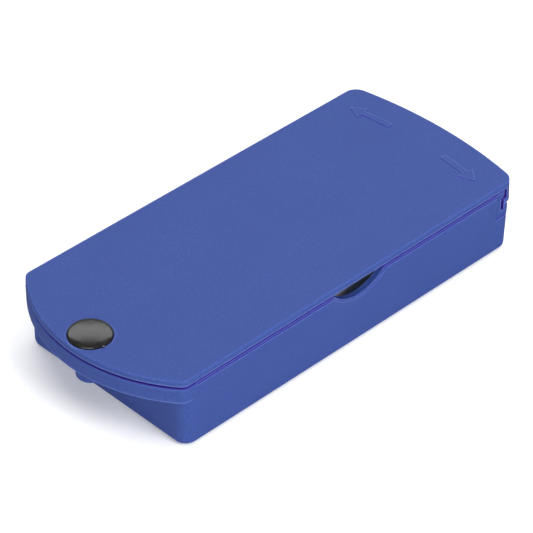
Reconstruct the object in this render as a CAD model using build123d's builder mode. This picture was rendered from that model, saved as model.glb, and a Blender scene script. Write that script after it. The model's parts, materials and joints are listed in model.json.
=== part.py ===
from build123d import *
import math
import os

# A pocket dispenser for wrapped sticking plasters.
#
# A shallow tray is closed by a flat lid that swivels on a domed rivet at the near end. The far end of
# both is an arc about the rivet, where a hooked skirt under the lid runs round a beaded end wall, so
# the lid can swing out to either side. A finger notch in each long side gives a hold on the stack of
# wrapped plasters inside.
#
# Frame: millimetres, origin in the middle of the box's footprint, +X towards the hooked end, +Z up.

os.makedirs("parts", exist_ok=True)

# Lid, measured from the pivot axis
swing_radius = 95.0  # pivot axis to the far edge of the top face, an arc about the pivot
near_margin = 0.5  # rivet head to the near edge
near_corner_lap = 0.13  # near corners, past the near wall's outer face
lid_width = 43.5
lid_near_corner = 1.9
lid_far_corner = 3.0
lid_thickness = 1.3
lid_edge_round = 0.3
lid_draft = 2.5  # degrees, the lid widens downwards
lid_gap = 0.62  # shadow gap between the lid and the tray's rim

# Tray
box_height = 16.6  # tray and lid together, without the rivet head
rim_proud = 0.1  # how far the rim stands out past the lid's edge
wall = 1.6
end_wall = 1.4
floor = 1.6
boss_to_wall = 0.3  # boss to the near wall's outer face
draft = 1.0  # degrees, on every outer and inner wall
near_corner = 3.0
far_corner = 2.4
bottom_round = 1.3
cavity_corner = 1.2
cavity_bottom_round = 0.7

# Pivot flange over the near wall, hollow underneath
flange_depth = 3.25
flange_wall = 1.4
flange_round = 0.4
boss_wall = 0.85  # round the rivet's lower half
boss_length = 7.5  # from the rim down
boss_round = 0.35
web_thickness = 1.2
pad_radius = 3.6
pad_clearance = 0.1  # lid above its bearing pad

# Hooked skirt under the lid's far edge, and the beaded wall that it runs round
skirt_thickness = 1.8
skirt_depth = 3.4  # below the lid's underside
hook_reach = 0.8
hook_height = 0.9
hook_lift = 0.25  # hook above the skirt's lower edge
bead_clearance = 0.45  # radial, bead to skirt
bead_height = 1.0
neck_depth = 0.75
groove_width = 0.75
groove_depth = 1.5
low_wall_gap = 0.35  # skirt's lower edge to the top of the low wall
low_wall_inset = 0.3  # low wall's outer face, inside the lid's far edge
low_wall_round = 1.5

# Openings in the long sides
notch_radius = 9.15
notch_depth = 3.2
notch_x = 49.0  # from the pivot axis
notch_corner = 0.7
rebate_width = 0.35  # fine step along the rim, the notch and the corner window
rebate_depth = 0.2
window_length = 7.5  # from the lid's far edge
window_drop = 3.0  # below the top of the low wall
window_depth = 0.35
window_ramp = 0.9  # length of the window's slanted near side

# Rivet
head_radius = 4.35
head_height = 1.0
head_edge = 0.15
head_recess = 0.25  # shallow seat in the lid, round the head
head_clearance = 0.06  # above the seat
recess_clearance = 0.1  # radial, head to the seat's side
shoulder_width = 1.3  # from the head's edge to the flatter crown
crown_height = 0.16
nub_radius = 0.28  # moulding mark on the head's edge, above the lid
nub_height = 0.2
nub_angle = -99.0
shank_radius = 1.5
shank_clearance = 0.05  # radial, in the lid
snap_bead = 0.15
snap_clearance = 0.03
socket_ring = 0.55  # thickness of the lower half, round the shank
socket_length = 2.6
socket_recess = 0.3  # socket's end face, above the boss's end

# Marks left by moulding
gate_radius = 2.6  # dimple under the floor, with the gate's stub in it
gate_depth = 0.4
stub_radius = 0.6
stub_height = 0.25
pin_mark_radius = 1.6  # ejector pins, in the floor and under the lid
pin_mark_depth = 0.08
pin_mark_spacing = 26.0  # along the box
pin_mark_inset = 6.0  # from the box's sides

# Raised direction arrows on the lid
arrow_inset = 7.0  # from the far edge
arrow_side_margin = 4.55  # tip to the lid's side
arrow_head = 3.2
arrow_tail = 6.9
arrow_half_width = 0.67
arrow_barb = 1.9
arrow_height = 0.15

# Wrapped plasters
plaster_count = 5
sachet_end_clearance = 0.1  # sachets to the rounding round the floor, at the ends
sachet_side_clearance = 1.2  # the same, at the long sides
paper = 0.12
crimp_width = 3.0
plaster_width = 19.0
plaster_tape = 0.3
plaster_corner = 6.0
pad_length = 25.0
pad_thickness = 0.75
liner = 0.1
liner_margin = 0.6  # liner past the tape, all round
liner_overlap = 8.0
liner_ramp = 1.5  # length of the slope beside the pad
pocket_clearance = 0.05  # over the liners
pocket_play = 0.2  # at the ends of the liners

beyond = 1.0  # how far a cutting shape runs past what it cuts

# Heights and radii that follow
lean = math.tan(math.radians(draft))  # what a tray wall moves in for each millimetre down
lid_bottom = box_height - lid_thickness
rim = lid_bottom - lid_gap
rim_half = lid_width / 2 + rim_proud
near_reach = head_radius + near_margin
socket_radius = shank_radius + socket_ring
boss_radius = socket_radius + boss_wall
near_wall_x = boss_radius + boss_to_wall
near_depth = near_reach + near_wall_x + near_corner_lap
near_arc_radius = ((lid_width / 2) ** 2 + near_depth**2) / (2 * near_depth)
near_centre = near_arc_radius - near_reach
far_reach = swing_radius + (lid_thickness + skirt_depth) * math.tan(math.radians(lid_draft))
pivot_x = -(far_reach - near_reach - rim_proud) / 2
skirt_bottom = lid_bottom - skirt_depth
skirt_inner = swing_radius - skirt_thickness
hook_tip = skirt_inner - hook_reach
bead_radius = skirt_inner - bead_clearance
neck_radius = bead_radius - neck_depth
low_wall_top = skirt_bottom - low_wall_gap
low_wall_radius = swing_radius - low_wall_inset
groove_outer = neck_radius + groove_width
groove_floor = low_wall_top - groove_depth
cavity_radius = neck_radius - end_wall
boss_bottom = rim - boss_length
flange_bottom = rim - flange_depth
plate_bottom = rim - wall
head_bottom = box_height - head_recess + head_clearance
socket_bottom = boss_bottom + socket_recess
socket_top = socket_bottom + socket_length
tape_top = paper + plaster_tape
liner_top = tape_top + pad_thickness + 2 * liner
sachet_height = liner_top + pocket_clearance + paper
floor_inset = (rim - floor) * lean + cavity_bottom_round
sachet_width = 2 * (rim_half - wall - floor_inset - sachet_side_clearance)
sachet_near_x = near_wall_x + wall + floor_inset + sachet_end_clearance
sachet_reach = cavity_radius - floor_inset - sachet_end_clearance
sachet_far_x = math.sqrt(sachet_reach**2 - (sachet_width / 2) ** 2)
sachet_length = sachet_far_x - sachet_near_x
plaster_length = sachet_length - 2 * (crimp_width + paper + pocket_play + liner_margin)
pad_width = plaster_width - 2 * liner_margin
crown_radius = head_radius - shoulder_width
arrow_radius = swing_radius - arrow_inset
window_x = swing_radius - window_length
window_bottom = low_wall_top - window_drop

end_sweep = 2 * math.degrees(math.asin(rim_half / neck_radius)) + 12
pivot_axis = Axis((pivot_x, 0, 0), (0, 0, 1))


def level(z):
    """Horizontal plane whose origin is on the pivot axis."""
    return Plane(origin=(pivot_x, 0, z))


def section(angle):
    """Upright plane through the pivot axis: local x is the radius, local y is the height."""
    turn = math.radians(angle)
    return Plane(
        origin=(pivot_x, 0, 0),
        x_dir=(math.cos(turn), math.sin(turn), 0),
        z_dir=(math.sin(turn), -math.cos(turn), 0),
    )


def side(y):
    """Upright plane along a long side: local x from the pivot axis, local y is the height."""
    return Plane(origin=(pivot_x, y, 0), x_dir=(1, 0, 0), z_dir=(0, -1, 0))


def polar(radius, angle):
    """Point at a radius and an angle in degrees about the pivot axis."""
    return (radius * math.cos(math.radians(angle)), radius * math.sin(math.radians(angle)))


def lid_outline(grow):
    """Plan of the lid, grown all round."""
    half = lid_width / 2 + grow
    far = swing_radius + grow
    near = near_arc_radius + grow
    far_x = math.sqrt(far**2 - half**2)
    near_x = near_centre - math.sqrt(near**2 - half**2)
    with BuildSketch() as outline:
        with BuildLine():
            ThreePointArc((far_x, -half), (far, 0), (far_x, half))
            Line((far_x, half), (near_x, half))
            ThreePointArc((near_x, half), (near_centre - near, 0), (near_x, -half))
            Line((near_x, -half), (far_x, -half))
        make_face()
        fillet(outline.vertices().group_by(Axis.X)[0], lid_near_corner + grow)
        fillet(outline.vertices().group_by(Axis.X)[-1], lid_far_corner + grow)
    return outline.sketch


def tray_outline(near_x, half, far, corner_near, corner_far):
    """Plan of the tray's walls: a straight near end and a far end that is an arc about the pivot."""
    far_x = math.sqrt(far**2 - half**2)
    with BuildSketch() as outline:
        with BuildLine():
            ThreePointArc((far_x, -half), (far, 0), (far_x, half))
            Polyline((far_x, half), (near_x, half), (near_x, -half), (far_x, -half))
        make_face()
        fillet(outline.vertices().group_by(Axis.X)[0], corner_near)
        fillet(outline.vertices().group_by(Axis.X)[-1], corner_far)
    return outline.sketch


def near_part(outline, far_x):
    """What lies on the near side of far_x in a plan."""
    with BuildSketch() as kept:
        add(outline)
        with Locations((far_x, 0)):
            Rectangle(2 * lid_width, 2 * lid_width, align=(Align.MAX, Align.CENTER), mode=Mode.INTERSECT)
    return kept.sketch


def side_cutout(grow):
    """Side view of what is cut from a long wall's top: the notch, and a strip above the rim."""
    reach = math.sqrt(notch_radius**2 - (notch_radius - notch_depth) ** 2)
    above = lid_gap + lid_thickness
    with BuildSketch() as cutout:
        with Locations((notch_x, rim - notch_depth + notch_radius)):
            Circle(notch_radius)
        with Locations((notch_x, rim + notch_radius)):
            Rectangle(4 * notch_radius, 2 * notch_radius, mode=Mode.SUBTRACT)
        with Locations((notch_x, rim + above / 2)):
            Rectangle(4 * reach, above)
        mouth = cutout.vertices().group_by(Axis.Y)[0].sort_by(Axis.X)[1:3]
        fillet(mouth, notch_corner)
        if grow:
            offset(amount=grow)
    return cutout.sketch


def cavity():
    """The space inside the tray, drafted, with a rounded edge round its floor."""
    with BuildPart() as space:
        with BuildSketch(level(rim)):
            inner_half = rim_half - wall
            add(tray_outline(near_wall_x + wall, inner_half, cavity_radius, cavity_corner, cavity_corner))
        extrude(amount=-(rim - floor), taper=draft)
        fillet(space.faces().sort_by(Axis.Z)[0].edges(), cavity_bottom_round)
    return space.part


def end_relief():
    """What is cut away outside the beaded end wall: the skirt's path and the groove for its hook."""
    outside = swing_radius + beyond
    bead_low = rim - bead_height
    with BuildPart() as relief:
        with BuildSketch(section(-end_sweep / 2)):
            with BuildLine():
                Polyline(
                    (bead_radius, rim + beyond),
                    (bead_radius, bead_low),
                    (neck_radius, bead_low - neck_depth),
                    (neck_radius, groove_floor),
                    (groove_outer, groove_floor),
                    (groove_outer, low_wall_top),
                    (outside, low_wall_top),
                    (outside, rim + beyond),
                    close=True,
                )
            make_face()
        revolve(axis=pivot_axis, revolution_arc=end_sweep)
    return relief.part


def tray_block():
    """Drafted outer shape: the full footprint up to the low far wall, and the walls above it."""
    shrink = (rim - low_wall_top) * lean
    overlap = 2 * low_wall_round
    hidden_far = bead_radius + groove_width
    with BuildPart() as block:
        with BuildSketch(level(low_wall_top)):
            near_x = near_wall_x + shrink
            half = rim_half - shrink
            add(tray_outline(near_x, half, low_wall_radius, near_corner - shrink, far_corner))
        extrude(amount=-low_wall_top, taper=draft)
        fillet(block.faces().sort_by(Axis.Z)[0].edges(), bottom_round)
        fillet(block.faces().sort_by(Axis.Z)[-1].edges(), low_wall_round)
        with BuildSketch(level(rim)):
            add(tray_outline(near_wall_x, rim_half, hidden_far, near_corner, groove_width))
        extrude(amount=-(rim - low_wall_top + overlap), taper=draft)
    return block.part


def window(direction):
    """Plan of what the corner window takes off a long wall: a slanted near side, then an even depth."""
    outer = direction * (rim_half + beyond)
    inner = direction * (rim_half - window_depth)
    surface = direction * (rim_half - (rim - window_bottom) * lean)
    end = swing_radius + beyond
    with BuildSketch() as plan:
        Polygon(
            (window_x, outer),
            (window_x, surface),
            (window_x + window_ramp, inner),
            (end, inner),
            (end, outer),
            align=None,
        )
    return plan.sketch


def pin_marks(z):
    """Plan of the ejector pins' marks at a height, in a grid centred on the box."""
    middle_x = pivot_x + (near_wall_x + swing_radius) / 2
    with BuildSketch(Plane(origin=(middle_x, 0, z))) as marks:
        with GridLocations(pin_mark_spacing, lid_width - 2 * pin_mark_inset, 3, 2):
            Circle(pin_mark_radius)
    return marks.sketch


def base_tray():
    """Tray, pivot flange and boss in one moulding."""
    with BuildPart() as tray:
        # Drafted outer block, with a flange over the near end
        add(tray_block())
        with BuildSketch(level(rim)):
            add(near_part(lid_outline(rim_proud), near_wall_x + 2 * near_corner))
        extrude(amount=-flange_depth, taper=draft)
        top = tray.faces().sort_by(Axis.Z)[-1]
        near_edges = top.edges().filter_by(lambda e: e.center().X < pivot_x + near_wall_x)
        fillet(near_edges, flange_round)

        # Far end, inside, and the openings in the long sides
        add(end_relief(), mode=Mode.SUBTRACT)
        add(cavity(), mode=Mode.SUBTRACT)
        with BuildSketch(side(0)):
            add(side_cutout(0))
        extrude(amount=lid_width, both=True, mode=Mode.SUBTRACT)
        wall_lean = (rim - window_bottom) * lean
        for direction in (-1, 1):
            with BuildSketch(side(direction * rim_half)):
                add(side_cutout(rebate_width))
                with Locations((near_wall_x + near_corner, rim - rebate_width)):
                    Rectangle(swing_radius, lid_thickness, align=Align.MIN)
            extrude(amount=direction * (rebate_depth + wall_lean / 2), mode=Mode.SUBTRACT)
            with BuildSketch(level(window_bottom)):
                add(window(direction))
            extrude(amount=box_height, mode=Mode.SUBTRACT)

        # Hollow under the flange, the boss with its web, and the bearing pad
        with BuildSketch(level(flange_bottom)):
            add(near_part(lid_outline(rim_proud - flange_wall), near_wall_x))
        extrude(amount=plate_bottom - flange_bottom, mode=Mode.SUBTRACT)
        with BuildSketch(level(boss_bottom)):
            Circle(boss_radius)
        extrude(amount=plate_bottom - boss_bottom)
        boss_end = tray.faces().filter_by_position(Axis.Z, boss_bottom, boss_bottom)
        fillet(boss_end.edges(), boss_round)
        with BuildSketch(level(flange_bottom)):
            with Locations((near_wall_x, 0)):
                Rectangle(near_wall_x + near_reach, web_thickness, align=(Align.MAX, Align.CENTER))
        extrude(amount=plate_bottom - flange_bottom)
        with BuildSketch(level(rim)):
            Circle(pad_radius)
        extrude(amount=lid_gap - pad_clearance)

        # Marks of the ejector pins in the floor, and of the gate under it
        add(pin_marks(floor))
        extrude(amount=-pin_mark_depth, mode=Mode.SUBTRACT)
        with BuildSketch(Plane.XY):
            Circle(gate_radius)
            Circle(stub_radius, mode=Mode.SUBTRACT)
        extrude(amount=gate_depth, mode=Mode.SUBTRACT)
        with BuildSketch(Plane.XY):
            Circle(stub_radius)
        extrude(amount=gate_depth - stub_height, mode=Mode.SUBTRACT)

        # Bore for the shank and the counterbore that holds the rivet's lower half
        with BuildSketch(level(boss_bottom)):
            Circle(shank_radius)
        extrude(amount=boss_length + lid_gap, mode=Mode.SUBTRACT)
        with BuildSketch(level(boss_bottom)):
            Circle(socket_radius)
        extrude(amount=socket_top - boss_bottom, mode=Mode.SUBTRACT)
    tray.part.label = "base_tray"
    export_step(tray.part, "parts/base_tray.step")


def lid():
    """Flat lid with a hooked skirt under its far edge, two raised arrows and the pivot hole."""
    hook_low = skirt_bottom + hook_lift
    with BuildPart() as cover:
        with BuildSketch(section(-end_sweep / 2)):
            with BuildLine():
                Polyline(
                    (far_reach + beyond, box_height - lid_thickness / 2),
                    (far_reach + beyond, skirt_bottom),
                    (skirt_inner + hook_lift, skirt_bottom),
                    (hook_tip, hook_low),
                    (hook_tip, hook_low + hook_height - hook_lift),
                    (skirt_inner, hook_low + hook_height),
                    (skirt_inner, box_height - lid_thickness / 2),
                    close=True,
                )
            make_face()
        revolve(axis=pivot_axis, revolution_arc=end_sweep)
        with BuildSketch(level(box_height)):
            add(lid_outline(0))
        extrude(amount=-box_height, taper=-lid_draft, mode=Mode.INTERSECT)
        with BuildSketch(level(box_height)):
            add(lid_outline(0))
        extrude(amount=-lid_thickness, taper=-lid_draft)
        fillet(cover.faces().sort_by(Axis.Z)[-1].edges(), lid_edge_round)
        with BuildSketch(level(box_height)):
            for turn in (1, -1):
                add(arrow(turn))
        extrude(amount=arrow_height)
        add(pin_marks(lid_bottom))
        extrude(amount=pin_mark_depth, mode=Mode.SUBTRACT)
        with BuildSketch(level(lid_bottom)):
            Circle(shank_radius + shank_clearance)
        extrude(amount=lid_thickness, mode=Mode.SUBTRACT)
        with BuildSketch(level(box_height)):
            Circle(head_radius + recess_clearance)
        extrude(amount=-head_recess, mode=Mode.SUBTRACT)
    cover.part.label = "lid"
    export_step(cover.part, "parts/lid.step")


def arrow(turn):
    """Arrow along an arc about the pivot, pointing to one side."""
    inner = arrow_radius - arrow_half_width
    outer = arrow_radius + arrow_half_width
    tip_along = lid_width / 2 - arrow_side_margin
    lengths = (tip_along - arrow_head - arrow_tail, tip_along - arrow_head, tip_along)
    start, neck, tip = (turn * math.degrees(length / arrow_radius) for length in lengths)
    middle = (start + neck) / 2
    with BuildSketch() as shape:
        with BuildLine():
            Line(polar(inner, start), polar(outer, start))
            ThreePointArc(polar(outer, start), polar(outer, middle), polar(outer, neck))
            Polyline(
                polar(outer, neck),
                polar(arrow_radius + arrow_barb, neck),
                polar(arrow_radius, tip),
                polar(arrow_radius - arrow_barb, neck),
                polar(inner, neck),
            )
            ThreePointArc(polar(inner, neck), polar(inner, middle), polar(inner, start))
        make_face()
    return shape.sketch


def rivet_pin():
    """Domed head and a shank whose end snaps into the lower half."""
    shank_end = socket_bottom + socket_recess
    bead_middle = (socket_bottom + socket_top) / 2
    shoulder = head_bottom + head_height - crown_height
    crown_sphere = (crown_radius**2 + crown_height**2) / (2 * crown_height)
    crown_centre = head_bottom + head_height - crown_sphere
    with BuildPart() as pin:
        with BuildSketch(section(0)):
            with BuildLine():
                Polyline(
                    (0, head_bottom + head_height),
                    (0, shank_end),
                    (shank_radius, shank_end),
                    (shank_radius, bead_middle - 2 * snap_bead),
                    (shank_radius + snap_bead, bead_middle),
                    (shank_radius, bead_middle + 2 * snap_bead),
                    (shank_radius, head_bottom),
                    (head_radius - head_edge / 2, head_bottom),
                    (head_radius, head_bottom + head_edge / 2),
                    (head_radius, head_bottom + head_edge),
                )
                Spline(
                    (head_radius, head_bottom + head_edge),
                    (crown_radius, shoulder),
                    tangents=((0, 1), (-1, 2 * crown_height / crown_radius)),
                )
                ThreePointArc(
                    (crown_radius, shoulder),
                    (crown_radius / 2, crown_centre + math.sqrt(crown_sphere**2 - crown_radius**2 / 4)),
                    (0, head_bottom + head_height),
                )
            make_face()
        revolve(axis=pivot_axis)
        with BuildSketch(level(box_height + head_clearance)):
            with Locations(polar(head_radius, nub_angle)):
                Circle(nub_radius)
        extrude(amount=nub_height)
    pin.part.label = "rivet_pin"
    export_step(pin.part, "parts/rivet_pin.step")


def rivet_socket():
    """Ring in the boss that grips the shank's snap bead."""
    groove = shank_radius + snap_bead + snap_clearance
    middle = socket_length / 2
    with BuildPart() as socket:
        with BuildSketch(section(0)):
            with BuildLine():
                Polyline(
                    (shank_radius, socket_bottom),
                    (socket_radius, socket_bottom),
                    (socket_radius, socket_top),
                    (shank_radius, socket_top),
                    (shank_radius, socket_bottom + middle + 2 * snap_bead + snap_clearance),
                    (groove, socket_bottom + middle),
                    (shank_radius, socket_bottom + middle - 2 * snap_bead - snap_clearance),
                    close=True,
                )
            make_face()
        revolve(axis=pivot_axis)
    socket.part.label = "rivet_socket"
    export_step(socket.part, "parts/rivet_socket.step")


def stack_plane(z):
    """Horizontal plane centred on the stack of sachets."""
    centre = pivot_x + (sachet_near_x + sachet_far_x) / 2
    return Plane(origin=(centre, 0, z))


def wrapper_back(name, z):
    """Lower paper of a sachet."""
    with BuildPart() as sheet:
        with BuildSketch(stack_plane(z)):
            Rectangle(sachet_length, sachet_width)
        extrude(amount=paper)
    sheet.part.label = name
    export_step(sheet.part, f"parts/{name}.step")


def wrapper_front(name, z):
    """Upper paper, sealed to the lower one round its edge and raised over the plaster."""
    pocket_length = sachet_length - 2 * crimp_width
    pocket_width = sachet_width - 2 * crimp_width
    rise = sachet_height - 2 * paper
    with BuildPart() as sheet:
        with BuildSketch(stack_plane(z + paper)):
            Rectangle(sachet_length, sachet_width)
        extrude(amount=paper)
        with BuildSketch(stack_plane(z + paper)):
            Rectangle(pocket_length, pocket_width)
        extrude(amount=rise + paper)
        with BuildSketch(stack_plane(z + paper)):
            Rectangle(pocket_length - 2 * paper, pocket_width - 2 * paper)
        extrude(amount=rise, mode=Mode.SUBTRACT)
    sheet.part.label = name
    export_step(sheet.part, f"parts/{name}.step")


def strip(name, z):
    """Adhesive tape of one plaster, round-ended."""
    with BuildPart() as tape:
        with BuildSketch(stack_plane(z + paper)):
            RectangleRounded(plaster_length, plaster_width, plaster_corner)
        extrude(amount=plaster_tape)
    tape.part.label = name
    export_step(tape.part, f"parts/{name}.step")


def pad(name, z):
    """Absorbent pad in the middle of the tape."""
    with BuildPart() as block:
        with BuildSketch(stack_plane(z + tape_top)):
            Rectangle(pad_length, pad_width)
        extrude(amount=pad_thickness)
    block.part.label = name
    export_step(block.part, f"parts/{name}.step")


def release_liner(name, z, end, lift):
    """Release sheet over half of the tape, stepped up over the pad; the second lies on the first."""
    step = tape_top
    top = tape_top + pad_thickness + lift
    outer = end * (plaster_length / 2 + liner_margin)
    ramp = end * (pad_length / 2 + liner_ramp)
    crest = end * (pad_length / 2 + lift)
    inner = -end * liner_overlap / 2
    width = plaster_width + 2 * liner_margin
    middle = stack_plane(z).origin
    with BuildPart() as sheet:
        with BuildSketch(Plane(origin=middle, x_dir=(1, 0, 0), z_dir=(0, -1, 0))):
            with BuildLine():
                Polyline(
                    (outer, step),
                    (ramp, step),
                    (crest, top),
                    (inner, top),
                    (inner, top + liner),
                    (crest + end * liner / 2, top + liner),
                    (ramp + end * liner / 2, step + liner),
                    (outer, step + liner),
                    close=True,
                )
            make_face()
        extrude(amount=width / 2, both=True)
    sheet.part.label = name
    export_step(sheet.part, f"parts/{name}.step")


base_tray()
lid()
rivet_pin()
rivet_socket()
for number in range(1, plaster_count + 1):
    bottom = floor + (number - 1) * sachet_height
    wrapper_back(f"plaster_{number}_wrapper_back", bottom)
    wrapper_front(f"plaster_{number}_wrapper_front", bottom)
    strip(f"plaster_{number}_strip", bottom)
    pad(f"plaster_{number}_pad", bottom)
    release_liner(f"plaster_{number}_liner_near", bottom, -1, 0)
    release_liner(f"plaster_{number}_liner_far", bottom, 1, liner)
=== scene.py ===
import json
import math

import bpy
import numpy as np
from mathutils import Matrix, Vector, noise


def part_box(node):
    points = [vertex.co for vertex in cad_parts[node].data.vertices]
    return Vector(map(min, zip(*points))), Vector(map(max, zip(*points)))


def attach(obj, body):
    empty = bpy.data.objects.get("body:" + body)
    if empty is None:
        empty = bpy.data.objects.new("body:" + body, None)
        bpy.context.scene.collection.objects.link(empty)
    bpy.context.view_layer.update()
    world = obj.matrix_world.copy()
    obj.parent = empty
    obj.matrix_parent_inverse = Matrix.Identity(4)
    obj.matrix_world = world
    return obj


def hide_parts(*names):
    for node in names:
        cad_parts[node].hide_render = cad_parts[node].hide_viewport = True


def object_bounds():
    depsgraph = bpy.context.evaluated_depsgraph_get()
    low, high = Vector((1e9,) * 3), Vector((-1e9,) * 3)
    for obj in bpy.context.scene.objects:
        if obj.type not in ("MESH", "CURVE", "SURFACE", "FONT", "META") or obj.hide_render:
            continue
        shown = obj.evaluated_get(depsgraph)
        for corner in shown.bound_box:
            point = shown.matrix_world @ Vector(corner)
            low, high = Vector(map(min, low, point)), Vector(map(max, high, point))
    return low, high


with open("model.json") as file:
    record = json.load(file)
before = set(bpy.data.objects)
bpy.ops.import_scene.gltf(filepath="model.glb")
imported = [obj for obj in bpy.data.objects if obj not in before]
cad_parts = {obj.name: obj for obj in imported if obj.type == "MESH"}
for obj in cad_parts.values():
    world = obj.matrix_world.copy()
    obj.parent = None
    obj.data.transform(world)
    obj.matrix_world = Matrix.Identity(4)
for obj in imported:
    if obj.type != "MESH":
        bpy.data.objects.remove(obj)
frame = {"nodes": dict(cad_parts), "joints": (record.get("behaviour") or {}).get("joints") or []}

# A pocket dispenser for wrapped sticking plasters. The tray, the lid, the rivet and its socket are the
# frame's own nodes, with materials from here. The paper sachets and the plasters inside them are built here,
# in metres.

MM = 0.001
cad_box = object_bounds()
nodes = frame["nodes"]
PLASTERS = range(1, 1 + sum(name.endswith("_strip") for name in nodes))

# Camera: the axes of the picture in the frame, and the lens for a 36 mm sensor
PICTURE_RIGHT = Vector((0.70886, -0.70511, 0.01836))
PICTURE_UP = Vector((0.42726, 0.44996, 0.78421))
CAMERA_FROM_PIVOT = Vector((-0.27560, -0.31381, 0.36267))
LENS = 199.77

# Moulded plastic, in the shading of the frame's own nodes, with a painted edge highlight and painted shade in
# crevices
EDGE_ROUND = 0.12 * MM  # softens the sharp edges
# how far in from an edge the painted highlight reaches
EDGE_HIGHLIGHT_REACH = 0.45 * MM
# how wide a hollow is that gets painted shade
CREVICE_SHADE_REACH = 1.8 * MM
CREVICE_SHADE_HEIGHTS = (2.0 * MM, 3.6 * MM)  # the painted shade in crevices sets in between these heights, so that the floor makes no painted shade

FLOOR_HALF = 3.0
FLOOR_DROP = 0.02 * MM  # floor below the tray's underside


# ---------------------------------------------------------------- node helpers

def new_material(name):
    """A new material, its node tree and its Principled shader."""
    material = bpy.data.materials.new(name)
    material.use_nodes = True
    tree = material.node_tree
    return material, tree, tree.nodes["Principled BSDF"]


def add_node(tree, kind, inputs=None, **settings):
    """Node with its settings. An input that is a socket is linked, and any other is set as a value."""
    node = tree.nodes.new(kind)
    for key, value in settings.items():
        setattr(node, key, value)
    for key, value in (inputs or {}).items():
        if isinstance(value, bpy.types.NodeSocket):
            tree.links.new(value, node.inputs[key])
        else:
            node.inputs[key].default_value = value
    return node


def object_coordinates(tree):
    return add_node(tree, "ShaderNodeTexCoord").outputs["Object"]


def noise_value(tree, scale, detail=2.0, roughness=0.5, vector=None):
    """Noise from 0 to 1, with scale in features for each metre."""
    source = vector or object_coordinates(tree)
    made = add_node(tree, "ShaderNodeTexNoise", {"Vector": source, "Scale": scale, "Detail": detail,
                                                 "Roughness": roughness})
    return made.outputs["Fac"]


def remap(tree, value, low, high, to_low=0.0, to_high=1.0):
    made = add_node(tree, "ShaderNodeMapRange", {"Value": value, "From Min": low, "From Max": high,
                                                 "To Min": to_low, "To Max": to_high})
    return made.outputs["Result"]


def calculate(tree, operation, a, b):
    made = add_node(tree, "ShaderNodeMath", {0: a, 1: b}, operation=operation)
    return made.outputs["Value"]


def mix_rgba(tree, factor, first, second):
    """Mix of two colours. The node's sockets are picked by index, because several share a name."""
    made = add_node(tree, "ShaderNodeMix", {0: factor, 6: first, 7: second}, data_type="RGBA")
    return made.outputs[2]


def occlusion(tree, reach, inside=False):
    """Share of the surface's surroundings that is open within reach, looking outward or into the solid."""
    made = add_node(tree, "ShaderNodeAmbientOcclusion", {"Distance": reach}, samples=8, inside=inside)
    return made.outputs["AO"]


def bump(tree, height, distance, strength=1.0, normal=None):
    inputs = {"Height": height, "Distance": distance, "Strength": strength}
    if normal is not None:
        inputs["Normal"] = normal
    return add_node(tree, "ShaderNodeBump", inputs).outputs["Normal"]


# ---------------------------------------------------------------- materials

def moulded_plastic(name, colour, deep_colour, highlight_and_dust_colour, painted_crevice_shade_colour, edge_radius):
    """Satin polypropylene: spark-eroded grain, slight mottling, dust specks, a painted highlight that makes
    the edges paler, and painted shade that deepens the colour in crevices."""
    material, tree, shader = new_material(name)
    place = object_coordinates(tree)
    rounded = add_node(tree, "ShaderNodeBevel", {"Radius": edge_radius}, samples=6)
    # Painted highlight: edges, found by occlusion inside the solid, are made paler
    edge = remap(tree, occlusion(tree, EDGE_HIGHLIGHT_REACH, inside=True), 0.92, 0.66, 0.0, 0.70)

    mottle = noise_value(tree, 2300.0, 3.0, 0.55, place)
    cloud = noise_value(tree, 60.0, 2.0, 0.5, place)
    grain = noise_value(tree, 5200.0, 2.0, 0.6, place)
    base = mix_rgba(tree, remap(tree, mottle, 0.30, 0.70), deep_colour, colour)
    base = mix_rgba(tree, remap(tree, cloud, 0.35, 0.75, 0.0, 0.35), base, deep_colour)
    # The painted edge highlight is broken up by the mottle; the dust specks below take the same pale colour
    painted_edge_highlight = calculate(tree, "MULTIPLY", edge, remap(tree, mottle, 0.3, 0.6, 0.5, 1.0))
    colour_with_dust_and_painted_light = mix_rgba(tree, painted_edge_highlight, base, highlight_and_dust_colour)

    cells = add_node(tree, "ShaderNodeTexVoronoi", {"Vector": place, "Scale": 170.0}, feature="F1")
    speck = remap(tree, cells.outputs["Distance"], 0.020, 0.012)
    colour_with_dust_and_painted_light = mix_rgba(tree, calculate(tree, "MULTIPLY", speck, 0.5), colour_with_dust_and_painted_light, highlight_and_dust_colour)
    # Painted shade: hollows closed in within reach, such as the gap under the lid, take the deeper violet
    # colour
    openness = occlusion(tree, CREVICE_SHADE_REACH)
    height = add_node(tree, "ShaderNodeSeparateXYZ", {"Vector": place}).outputs["Z"]
    above_floor = remap(tree, height, *CREVICE_SHADE_HEIGHTS)
    painted_crevice_shade = calculate(tree, "MULTIPLY", remap(tree, openness, 0.30, 0.78, 1.0, 0.0), above_floor)
    colour_with_dust_and_painted_light = mix_rgba(tree, painted_crevice_shade, colour_with_dust_and_painted_light, painted_crevice_shade_colour)
    tree.links.new(colour_with_dust_and_painted_light, shader.inputs["Base Color"])

    tree.links.new(remap(tree, mottle, 0.3, 0.7, 0.46, 0.56), shader.inputs["Roughness"])
    fine = calculate(tree, "MULTIPLY", grain, 0.7)
    texture = calculate(tree, "ADD", fine, calculate(tree, "MULTIPLY", mottle, 0.6))
    tree.links.new(bump(tree, texture, 0.00005, 0.80, rounded.outputs["Normal"]), shader.inputs["Normal"])
    shader.inputs["IOR"].default_value = 1.49
    shader.inputs["Specular IOR Level"].default_value = 0.28
    shader.inputs["Subsurface Weight"].default_value = 0.25
    shader.inputs["Subsurface Radius"].default_value = (0.35, 0.25, 1.0)
    shader.inputs["Subsurface Scale"].default_value = 0.0011
    return material


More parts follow.
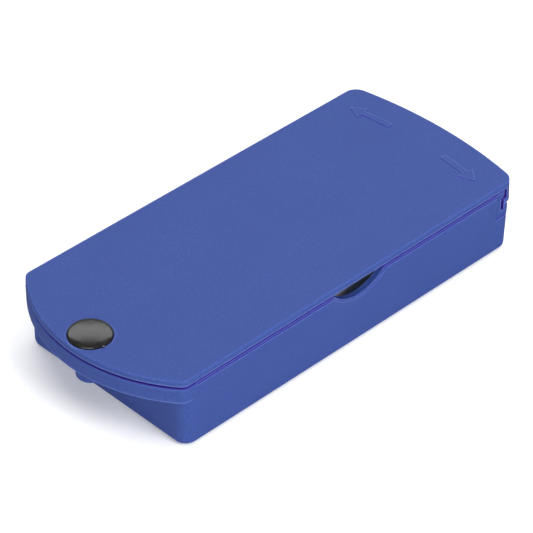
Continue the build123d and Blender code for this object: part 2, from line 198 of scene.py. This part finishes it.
def black_acetal():
    """Gloss black moulding: fine scratches from handling, and a little dust."""
    material, tree, shader = new_material("rivet_black")
    place = object_coordinates(tree)
    streaks = add_node(tree, "ShaderNodeMapping", {"Vector": place, "Rotation": (0.0, 0.0, 0.6),
                                                   "Scale": (1.0, 14.0, 1.0)}).outputs["Vector"]
    scratch = noise_value(tree, 900.0, 3.0, 0.6, streaks)
    cloud = noise_value(tree, 700.0, 3.0, 0.6, place)
    dust = remap(tree, cloud, 0.35, 0.7)
    colour = mix_rgba(tree, dust, (0.0085, 0.0085, 0.009, 1), (0.016, 0.016, 0.015, 1))
    tree.links.new(colour, shader.inputs["Base Color"])
    tree.links.new(remap(tree, cloud, 0.3, 0.75, 0.13, 0.24), shader.inputs["Roughness"])
    tree.links.new(bump(tree, scratch, 0.000004, 0.35), shader.inputs["Normal"])
    shader.inputs["IOR"].default_value = 1.55
    return material


def sachet_paper():
    """Thin coated paper: short fibres, faint blotches and a soft tooth."""
    material, tree, shader = new_material("sachet_paper")
    place = object_coordinates(tree)
    stretched = add_node(tree, "ShaderNodeMapping", {"Vector": place, "Scale": (1.0, 3.5, 1.0)})
    fibre = noise_value(tree, 2400.0, 4.0, 0.65, stretched.outputs["Vector"])
    cloud = noise_value(tree, 130.0, 3.0, 0.5, place)
    colour = mix_rgba(tree, remap(tree, cloud, 0.3, 0.7), (0.66, 0.655, 0.62, 1), (0.78, 0.775, 0.745, 1))
    colour = mix_rgba(tree, remap(tree, fibre, 0.58, 0.75, 0.0, 0.35), colour, (0.56, 0.55, 0.52, 1))
    tree.links.new(colour, shader.inputs["Base Color"])
    tree.links.new(remap(tree, fibre, 0.3, 0.7, 0.48, 0.66), shader.inputs["Roughness"])
    tree.links.new(bump(tree, fibre, 0.00003, 0.5), shader.inputs["Normal"])
    return material


def woven_tape():
    """Skin-coloured tape: a close weave with a warm tint that varies from thread to thread."""
    material, tree, shader = new_material("woven_tape")
    place = object_coordinates(tree)
    threads = []
    for direction in ("X", "Y"):
        wave = add_node(tree, "ShaderNodeTexWave", {"Vector": place, "Scale": 420.0, "Distortion": 0.6,
                                                    "Detail": 1.0, "Detail Scale": 3.0},
                        wave_type="BANDS", bands_direction=direction)
        threads.append(wave.outputs["Fac"])
    weave = calculate(tree, "MULTIPLY", threads[0], threads[1])
    cloud = noise_value(tree, 400.0, 3.0, 0.6, place)
    colour = mix_rgba(tree, remap(tree, weave, 0.0, 0.6), (0.42, 0.24, 0.14, 1), (0.66, 0.42, 0.27, 1))
    colour = mix_rgba(tree, remap(tree, cloud, 0.35, 0.7, 0.0, 0.3), colour, (0.70, 0.47, 0.32, 1))
    tree.links.new(colour, shader.inputs["Base Color"])
    tree.links.new(remap(tree, weave, 0.0, 1.0, 0.85, 0.68), shader.inputs["Roughness"])
    tree.links.new(bump(tree, weave, 0.00005, 0.8), shader.inputs["Normal"])
    return material


def gauze():
    """Absorbent pad: white non-woven with a fine net over it."""
    material, tree, shader = new_material("pad_gauze")
    place = object_coordinates(tree)
    cells = add_node(tree, "ShaderNodeTexVoronoi", {"Vector": place, "Scale": 1300.0, "Randomness": 0.25},
                     feature="DISTANCE_TO_EDGE")
    net = remap(tree, cells.outputs["Distance"], 0.02, 0.16, 1.0, 0.0)
    fluff = noise_value(tree, 3000.0, 4.0, 0.65, place)
    colour = mix_rgba(tree, net, (0.80, 0.79, 0.75, 1), (0.90, 0.895, 0.875, 1))
    colour = mix_rgba(tree, remap(tree, fluff, 0.55, 0.8, 0.0, 0.4), colour, (0.68, 0.67, 0.63, 1))
    tree.links.new(colour, shader.inputs["Base Color"])
    tree.links.new(remap(tree, fluff, 0.2, 0.8, 0.75, 0.95), shader.inputs["Roughness"])
    height = calculate(tree, "ADD", net, calculate(tree, "MULTIPLY", fluff, 0.8))
    tree.links.new(bump(tree, height, 0.00006, 0.8), shader.inputs["Normal"])
    return material


def silicone_paper():
    """Release liner: smooth glazed paper, slightly cool, with a faint mottle."""
    material, tree, shader = new_material("silicone_paper")
    place = object_coordinates(tree)
    mottle = noise_value(tree, 700.0, 4.0, 0.6, place)
    colour = mix_rgba(tree, remap(tree, mottle, 0.3, 0.7), (0.70, 0.72, 0.73, 1), (0.80, 0.81, 0.81, 1))
    tree.links.new(colour, shader.inputs["Base Color"])
    tree.links.new(remap(tree, mottle, 0.3, 0.7, 0.24, 0.36), shader.inputs["Roughness"])
    tree.links.new(bump(tree, mottle, 0.00002, 0.3), shader.inputs["Normal"])
    return material


def paint(item, material):
    item.data.materials.clear()
    item.data.materials.append(material)


# ---------------------------------------------------------------- sheets

def smooth(value, start, end):
    """0 before start, 1 after end, and a smooth rise between."""
    t = np.clip((value - start) / (end - start), 0.0, 1.0)
    return t * t * (3 - 2 * t)


def spaced(half, band, fine, coarse):
    """Grid lines from -half to half, with this many fine steps in each end's band and coarse ones between."""
    ends = np.linspace(-half, -half + band, fine + 1)
    middle = np.linspace(-half + band, half - band, coarse + 1)[1:-1]
    return np.concatenate([ends, middle, -ends[::-1]])


def centred_grid(half, counts):
    """Even grid of points over a box about the origin."""
    xs = np.linspace(-half.x, half.x, counts[0])
    ys = np.linspace(-half.y, half.y, counts[1])
    return np.meshgrid(xs, ys, indexing="ij")


def closed_sheet(name, gx, gy, lower, upper):
    """Closed mesh between two height fields over one grid of points. The four arrays are in metres."""
    along, across = gx.shape
    layers = [np.stack([gx, gy, z], axis=-1).reshape(-1, 3) for z in (lower, upper)]
    count = along * across
    index = np.arange(count).reshape(along, across)
    a, b, c, d = index[:-1, :-1], index[1:, :-1], index[1:, 1:], index[:-1, 1:]
    top = np.stack([a, b, c, d], axis=-1).reshape(-1, 4) + count
    bottom = np.stack([a, d, c, b], axis=-1).reshape(-1, 4)
    rim = np.concatenate([index[:, 0], index[-1, 1:], index[-2::-1, -1], index[0, -2:0:-1]])
    after = np.roll(rim, -1)
    wall = np.stack([rim, after, after + count, rim + count], axis=-1)
    mesh = bpy.data.meshes.new(name)
    mesh.from_pydata(np.concatenate(layers).tolist(), [], np.concatenate([top, bottom, wall]).tolist())
    mesh.polygons.foreach_set("use_smooth", [True] * (2 * a.size) + [False] * rim.size)
    made = bpy.data.objects.new(name, mesh)
    bpy.context.scene.collection.objects.link(made)
    return made


def field(gx, gy, scale, seed):
    """Smooth noise from about -1 to 1 at each point, scale in features for each metre."""
    points = zip(gx.ravel(), gy.ravel())
    values = [noise.noise(Vector((x * scale, y * scale, seed))) for x, y in points]
    return 2.0 * np.array(values).reshape(gx.shape)


# ---------------------------------------------------------------- sachets and plasters

SEAL = 2.0 * MM  # ribbed part of the sealed band round a sachet
SEAL_BAND = 3.0 * MM
RIB_PITCH = 0.6 * MM
RIB_HEIGHT = 0.09 * MM
EDGE_CURL = (0.22, 0.20)  # mean and swing of the curl along a sachet's edge, in mm
SHEET_GAP = 0.03 * MM  # between layers that lie on each other
STACK_TURN = math.radians(0.28)  # largest turn of a sachet in the stack
STACK_SHIFT = (0.20, 0.45)  # largest shift along and across the box, in mm

# Front paper: it falls from the parts that it covers to the seal
TAPE_END_PLAY = 0.65 * MM  # past the tape's end
LINER_SIDE_PLAY = 0.2 * MM  # past the liner's side
SEAL_LAP = 0.4 * MM  # into the sealed band
PAD_END_SLOPE = (0.7 * MM, 6.5 * MM)  # past the pad's end
PAD_SIDE_SLOPE = (0.1 * MM, 4.4 * MM)  # past the liner's side
LONG_CREASE = 0.16 * MM  # height, as for the next
FINE_CREASE = 0.05 * MM

TAPE_CORNER = 6.0 * MM
TAPE_EDGE = 0.8 * MM  # band that thins out
TAPE_THINNING = 0.10 * MM
DIMPLE_PITCH = 2.4 * MM
DIMPLE_DEPTH = 0.09 * MM
PAD_SHOULDER = 1.1 * MM  # rounded band along the pad's sides
PAD_RIM = 0.35  # share of its thickness that the pad has at its edge
QUILT_PITCH = 4.2 * MM
QUILT_DEPTH = 0.10  # share of the thickness
LINER_RAMP = 1.5 * MM  # past the pad's end, where the liner has come down to the tape
LINER_WAVE = 0.02 * MM

# Grids, along and across
SEAL_STEPS = 20  # in each sealed band
SACHET_STEPS = (96, 44)  # between the sealed bands
TAPE_GRID = (125, 39)  # points, as for the next two
PAD_GRID = (61, 45)
LINER_GRID = (64, 22)


class Plaster:
    """The six pieces of one sachet, each in the space of its frame node."""

    def __init__(self, number):
        self.number = number
        self.back_low, self.back_high = self.box("wrapper_back")
        self.front_high = self.box("wrapper_front")[1]
        self.tape_low, self.tape_high = self.box("strip")
        self.pad_low, self.pad_high = self.box("pad")
        self.centre = (self.back_low + self.back_high) / 2
        self.half = (self.back_high - self.back_low) / 2
        self.paper = self.back_high.z - self.back_low.z
        self.bend = 7.3 * number  # seed of this sachet's own creases

    def box(self, part):
        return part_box(f"plaster_{self.number}_{part}")

    def from_centre(self, gx, gy):
        return np.abs(gx - self.centre.x), np.abs(gy - self.centre.y)

    def finish(self, made, part, material, turn):
        """Turns a piece with its sachet, and gives it its body, its node and its finish."""
        made.data.transform(turn)
        paint(made, material)
        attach(made, "tray")
        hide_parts(f"plaster_{self.number}_{part}")

    def lie(self):
        """How this sachet lies in the stack: the lowest is straight, and the others are a little askew."""
        if self.number == 1:
            return Matrix.Identity(4)
        angle = STACK_TURN * math.sin(2.4 * self.number)
        along = STACK_SHIFT[0] * math.cos(1.7 * self.number)
        across = STACK_SHIFT[1] * math.sin(3.1 * self.number)
        shift = Vector((along, across, 0.0)) * MM
        about = Matrix.Translation(self.centre)
        return Matrix.Translation(shift) @ about @ Matrix.Rotation(angle, 4, "Z") @ about.inverted()

    def seal_shape(self, gx, gy):
        """Height of the sealed band over the sachet's base: pressed ribs, and edges that curl up a little."""
        ax, ay = self.from_centre(gx, gy)
        edge = np.minimum(self.half.x - ax, self.half.y - ay)
        ribs = 0.5 - 0.5 * np.cos(2 * math.pi * edge / RIB_PITCH)
        ribs *= (1 - smooth(edge, SEAL - RIB_PITCH, SEAL)) * RIB_HEIGHT
        curl = (EDGE_CURL[0] + EDGE_CURL[1] * field(gx, gy, 38.0, self.bend)) * MM
        return ribs + np.clip(curl, 0, None) * (1 - smooth(edge, 0, SEAL_BAND)) ** 2

    def pocket_shape(self, gx, gy):
        """Height inside the sachet: low over the tape's ends, high over the pad, and creased between."""
        ax, ay = self.from_centre(gx, gy)
        tape_half = self.tape_high.x - self.centre.x
        liner_low, liner_high = self.box("liner_near")
        liner_half = (liner_high.y - liner_low.y) / 2
        pad_half = self.pad_high.x - self.centre.x
        low = self.tape_high.z - self.tape_low.z + 5 * SHEET_GAP
        high = self.front_high.z - self.back_high.z - self.paper - SHEET_GAP
        over_tape = 1 - smooth(ax, tape_half + TAPE_END_PLAY, self.half.x - SEAL)
        over_tape *= 1 - smooth(ay, liner_half + LINER_SIDE_PLAY, self.half.y - SEAL_BAND + SEAL_LAP)
        over_pad = 1 - smooth(ax, pad_half + PAD_END_SLOPE[0], pad_half + PAD_END_SLOPE[1])
        over_pad *= 1 - smooth(ay, liner_half + PAD_SIDE_SLOPE[0], liner_half + PAD_SIDE_SLOPE[1])
        crease = np.abs(field(gx, gy * 0.45, 210.0, self.bend)) * LONG_CREASE
        crease += np.abs(field(gx * 0.5, gy, 620.0, self.bend + 2)) * FINE_CREASE
        return low * over_tape + (high - low) * over_pad + crease * over_tape * (1 - over_pad)

    def grid(self):
        """Points over the whole sachet, close together in the sealed bands."""
        xs = self.centre.x + spaced(self.half.x, SEAL_BAND, SEAL_STEPS, SACHET_STEPS[0])
        ys = self.centre.y + spaced(self.half.y, SEAL_BAND, SEAL_STEPS, SACHET_STEPS[1])
        return np.meshgrid(xs, ys, indexing="ij")

    def wrapper(self, turn, material):
        """Back and front papers, sealed together round the edge."""
        gx, gy = self.grid()
        seal, pocket = self.seal_shape(gx, gy), self.pocket_shape(gx, gy)
        base = self.back_low.z + seal
        back = closed_sheet(f"sachet_{self.number}_back_paper", gx, gy, base, base + self.paper)
        inner = base + self.paper + pocket
        front = closed_sheet(f"sachet_{self.number}_front_paper", gx, gy, inner, inner + self.paper)
        for made, part in ((back, "wrapper_back"), (front, "wrapper_front")):
            self.finish(made, part, material, turn)

    def tape(self, turn, material):
        """Round-ended tape with thinned edges and rows of breathing dimples."""
        half = (self.tape_high - self.tape_low) / 2
        gx, gy = centred_grid(half, TAPE_GRID)
        past = np.clip(np.abs(gy) - (half.y - TAPE_CORNER), 0, TAPE_CORNER)
        gx = gx * (half.x - TAPE_CORNER + np.sqrt(TAPE_CORNER**2 - past**2)) / half.x
        rows = np.cos(2 * math.pi * gx / DIMPLE_PITCH) * np.cos(2 * math.pi * gy / DIMPLE_PITCH)
        dimple = np.clip(rows, 0, 1) ** 2
        edge = np.minimum(half.x - np.abs(gx), half.y - np.abs(gy))
        high = self.tape_high.z - DIMPLE_DEPTH * dimple - TAPE_THINNING * (1 - smooth(edge, 0, TAPE_EDGE))
        low = np.full_like(gx, self.tape_low.z)
        made = closed_sheet(f"plaster_{self.number}_tape", gx + self.centre.x, gy + self.centre.y, low, high)
        self.finish(made, "strip", material, turn)

    def gauze_pad(self, turn, material):
        """Soft pad with rounded sides and shallow quilted diamonds."""
        half = (self.pad_high - self.pad_low) / 2
        gx, gy = centred_grid(half, PAD_GRID)
        edge = np.minimum(half.x - np.abs(gx), half.y - np.abs(gy))
        thick = self.pad_high.z - self.pad_low.z
        shoulder = np.sqrt(1 - (1 - np.clip(edge / PAD_SHOULDER, 0, 1)) ** 2)
        stitches = np.sin(math.pi * (gx + gy) / QUILT_PITCH) * np.sin(math.pi * (gx - gy) / QUILT_PITCH)
        quilt = np.abs(stitches) ** 0.35
        rounded = PAD_RIM + (1 - PAD_RIM) * shoulder
        high = self.pad_low.z + thick * rounded * (1 - QUILT_DEPTH + QUILT_DEPTH * quilt)
        low = np.full_like(gx, self.pad_low.z)
        name = f"plaster_{self.number}_gauze_pad"
        made = closed_sheet(name, gx + self.centre.x, gy + self.centre.y, low, high)
        self.finish(made, "pad", material, turn)

    def liner(self, part, turn, material):
        """Release liner: slightly wavy on the tape, then up a soft slope and flat over the pad."""
        low, high = self.box(f"liner_{part}")
        thick = self.box("liner_near")[1].z - self.pad_high.z
        pad_half = self.pad_high.x - self.centre.x
        xs = np.linspace(low.x, high.x, LINER_GRID[0])
        ys = np.linspace(low.y, high.y, LINER_GRID[1])
        gx, gy = np.meshgrid(xs, ys, indexing="ij")
        ax = self.from_centre(gx, gy)[0]
        climb = 1 - smooth(ax, pad_half + (high.z - thick - self.pad_high.z), pad_half + LINER_RAMP)
        wave = LINER_WAVE * (1 + field(gx, gy, 160.0, self.bend + 4)) * (1 - climb)
        base = low.z + wave + (high.z - thick - low.z) * climb
        made = closed_sheet(f"plaster_{self.number}_{part}_liner", gx, gy, base, base + thick)
        self.finish(made, f"liner_{part}", material, turn)

    def build(self, paper, tape, gauze_cover, liner_paper):
        turn = self.lie()
        self.wrapper(turn, paper)
        self.tape(turn, tape)
        self.gauze_pad(turn, gauze_cover)
        self.liner("near", turn, liner_paper)
        self.liner("far", turn, liner_paper)


# ---------------------------------------------------------------- stage, lights, camera

def make_floor():
    """Pale paper floor just below the object, left out of reflections."""
    mesh = bpy.data.meshes.new("floor")
    corners = [(x * FLOOR_HALF, y * FLOOR_HALF, 0) for x, y in ((-1, -1), (1, -1), (1, 1), (-1, 1))]
    mesh.from_pydata(corners, [], [(0, 1, 2, 3)])
    floor = bpy.data.objects.new("floor", mesh)
    bpy.context.scene.collection.objects.link(floor)
    floor.location.z = cad_box[0][2] - FLOOR_DROP
    material, tree, shader = new_material("floor_paper")
    shade = noise_value(tree, 6.0)
    colour = mix_rgba(tree, shade, (0.88, 0.88, 0.885, 1), (0.91, 0.91, 0.91, 1))
    tree.links.new(colour, shader.inputs["Base Color"])
    shader.inputs["Roughness"].default_value = 0.9
    shader.inputs["Emission Color"].default_value = (1.0, 1.0, 1.0, 1)
    shader.inputs["Emission Strength"].default_value = 0.22
    floor.visible_glossy = False
    paint(floor, material)


def soft_light(name, direction, distance, size, power, glossy=True):
    """Area light of size (width, height) in metres, facing the frame's origin."""
    light = bpy.data.lights.new(name, "AREA")
    light.shape = "RECTANGLE"
    light.size, light.size_y = size
    light.energy = power
    lamp = bpy.data.objects.new(name, light)
    toward = Vector(direction).normalized()
    lamp.location = toward * distance
    lamp.rotation_euler = toward.to_track_quat("Z", "Y").to_euler()
    lamp.visible_glossy = glossy
    bpy.context.scene.collection.objects.link(lamp)


def make_lights():
    """Soft studio light. Glossy surfaces show the two panels behind and the one low in front."""
    world = bpy.data.worlds.new("studio")
    bpy.context.scene.world = world
    world.use_nodes = True
    backdrop = world.node_tree.nodes["Background"]
    backdrop.inputs["Color"].default_value = (1.0, 1.0, 1.0, 1)
    backdrop.inputs["Strength"].default_value = 0.20
    soft_light("back_panel", (0.56, 0.55, 0.71), 0.70, (1.10, 0.22), 1.75)
    soft_light("back_low", (0.56, 0.55, 0.26), 0.72, (1.20, 0.28), 0.20)
    soft_light("overhead", (-0.05, -0.10, 1.00), 1.10, (0.9, 0.9), 7.5, glossy=False)
    soft_light("front_low", (-0.78, -0.54, 0.36), 0.90, (0.75, 0.38), 3.1)
    soft_light("front_fill", (0.04, -0.80, 0.60), 0.90, (0.40, 0.22), 4.3, glossy=False)


def make_camera():
    """Camera at the photo's angle, placed from the foot of the pivot axis."""
    pivot = Vector(frame["joints"][0]["pos_m"])
    pivot.z = 0.0
    back = PICTURE_RIGHT.cross(PICTURE_UP)
    camera = bpy.data.cameras.new("camera")
    camera.sensor_width = 36.0
    camera.lens = LENS
    camera.clip_start = 0.01
    camera.clip_end = 20.0
    holder = bpy.data.objects.new("camera", camera)
    turn = Matrix((PICTURE_RIGHT, PICTURE_UP, back)).transposed().to_4x4()
    holder.matrix_world = Matrix.Translation(pivot + CAMERA_FROM_PIVOT) @ turn
    bpy.context.scene.collection.objects.link(holder)
    bpy.context.scene.camera = holder


make_camera()
make_floor()
make_lights()
bpy.context.scene.view_settings.view_transform = "Standard"

# After the two plastic colours come a painted edge highlight, which the dust specks share, and painted shade
# for the crevices
blue = moulded_plastic("polypropylene_blue", (0.042, 0.083, 0.312, 1), (0.028, 0.058, 0.250, 1),
                       (0.110, 0.180, 0.48, 1), (0.070, 0.020, 0.38, 1), EDGE_ROUND)
for name in ("base_tray", "lid"):
    paint(nodes[name], blue)
acetal = black_acetal()
for name in ("rivet_pin", "rivet_socket"):
    paint(nodes[name], acetal)
finishes = (sachet_paper(), woven_tape(), gauze(), silicone_paper())
for number in PLASTERS:
    Plaster(number).build(*finishes)
